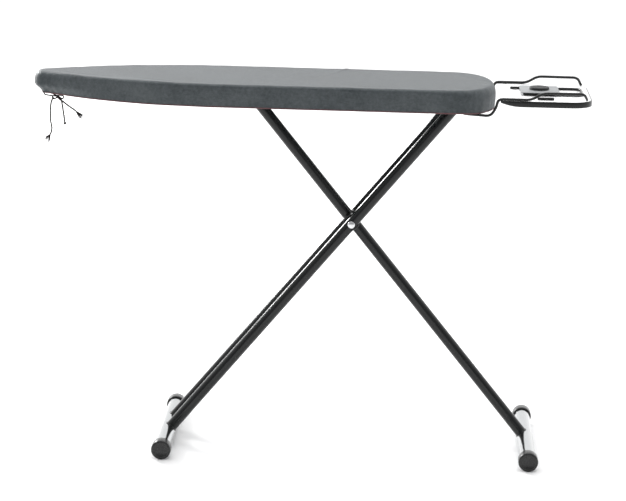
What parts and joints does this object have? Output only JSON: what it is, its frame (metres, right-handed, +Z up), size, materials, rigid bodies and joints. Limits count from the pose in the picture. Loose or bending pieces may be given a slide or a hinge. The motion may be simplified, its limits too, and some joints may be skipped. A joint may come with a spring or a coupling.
{
  "type": "ironing board",
  "caption": "Folding ironing board with scissor legs on T feet, padded cover with drawstring ties, height lever and wire iron rest.",
  "frame": {"origin": "middle of the bounding box at floor level, standing open at the top height, without the tie cords", "axes": "+X along the board from the nose to the iron rest, +Y across the board, +Z up"},
  "size_m": [1.3472, 0.408, 0.9187],
  "materials": {
    "cover_cloth": "woven cotton with a dark silvery coating, matt",
    "binding": "folded dark red-brown tape",
    "felt": "pressed felt underlay",
    "cord": "twisted thread, frayed ends",
    "black_enamel": "gloss black enamel",
    "grey_steel": "grey powder coat, satin",
    "bright_steel": "bright zinc or polished steel",
    "foot_chrome": "chrome plated",
    "black_plastic": "moulded, fine grain",
    "rubber": "silicone pad, matt"
  },
  "bodies": {
    "board": {"cover": "cover_cloth", "hem_binding": "binding", "pad": "felt", "panel": "grey_steel", "rim": "grey_steel", "cross_strap_1": "grey_steel", "cross_strap_2": "grey_steel", "cross_strap_3": "grey_steel", "cross_strap_4": "grey_steel", "slide_rail_near": "grey_steel", "slide_rail_far": "grey_steel", "pivot_bracket_near": "grey_steel", "pivot_bracket_far": "grey_steel", "pivot_nut_near": "bright_steel", "pivot_nut_far": "bright_steel", "pivot_rod": "bright_steel", "lever_bracket": "grey_steel", "lever_pin": "bright_steel", "lever_spring": "bright_steel", "rest_tray": "bright_steel", "rest_band": "black_enamel", "rest_wire_near": "black_enamel", "rest_wire_far": "black_enamel", "rest_clamp_near": "grey_steel", "rest_clamp_far": "grey_steel", "rest_screw_near": "bright_steel", "rest_screw_far": "bright_steel", "rest_inner_loop": "black_enamel", "rest_plate": "grey_steel", "rest_puck": "rubber", "rest_stop": "black_enamel", "tie_knot": "cord", "tie_long": "cord", "tie_mid": "cord", "tie_short": "cord"},
    "leg_a": {"leg_a_tube_near": "black_enamel", "leg_a_tube_far": "black_enamel", "leg_a_sleeve": "black_enamel", "leg_a_foot": "foot_chrome", "leg_a_cap_near": "black_plastic", "leg_a_cap_far": "black_plastic", "cross_pin": "bright_steel", "spacer_near": "black_plastic", "spacer_far": "black_plastic"},
    "leg_b": {"leg_b_tube": "black_enamel", "leg_b_crossbar": "grey_steel", "slide_shoe_near": "black_plastic", "slide_shoe_far": "black_plastic", "leg_b_foot": "foot_chrome", "leg_b_cap_near": "black_plastic", "leg_b_cap_far": "black_plastic"},
    "lever": {"height_rack_near": "grey_steel", "height_rack_far": "grey_steel", "lever_blade": "grey_steel", "lever_grip": "black_plastic"}
  },
  "joints": [
    {"name": "leg_fold", "type": "hinge", "parent": "board", "child": "leg_a", "pos_m": [0.36344, 0, 0.87942], "axis": [0, 1, 0], "range_deg": [0, 47.6]},
    {"name": "leg_cross", "type": "hinge", "parent": "leg_a", "child": "leg_b", "pos_m": [0.107, 0, 0.56723], "axis": [0, 1, 0], "range_deg": [-95.2, 0]},
    {"name": "height_lever", "type": "hinge", "parent": "board", "child": "lever", "pos_m": [-0.47546, 0, 0.89022], "axis": [0, -1, 0], "range_deg": [0, 1.5], "stiffness_Nm_per_rad": 20, "springref_deg": -2.86}
  ],
  "couplings": [
    {"joint": "leg_cross", "follows": "leg_fold", "ratio": -2}
  ]
}
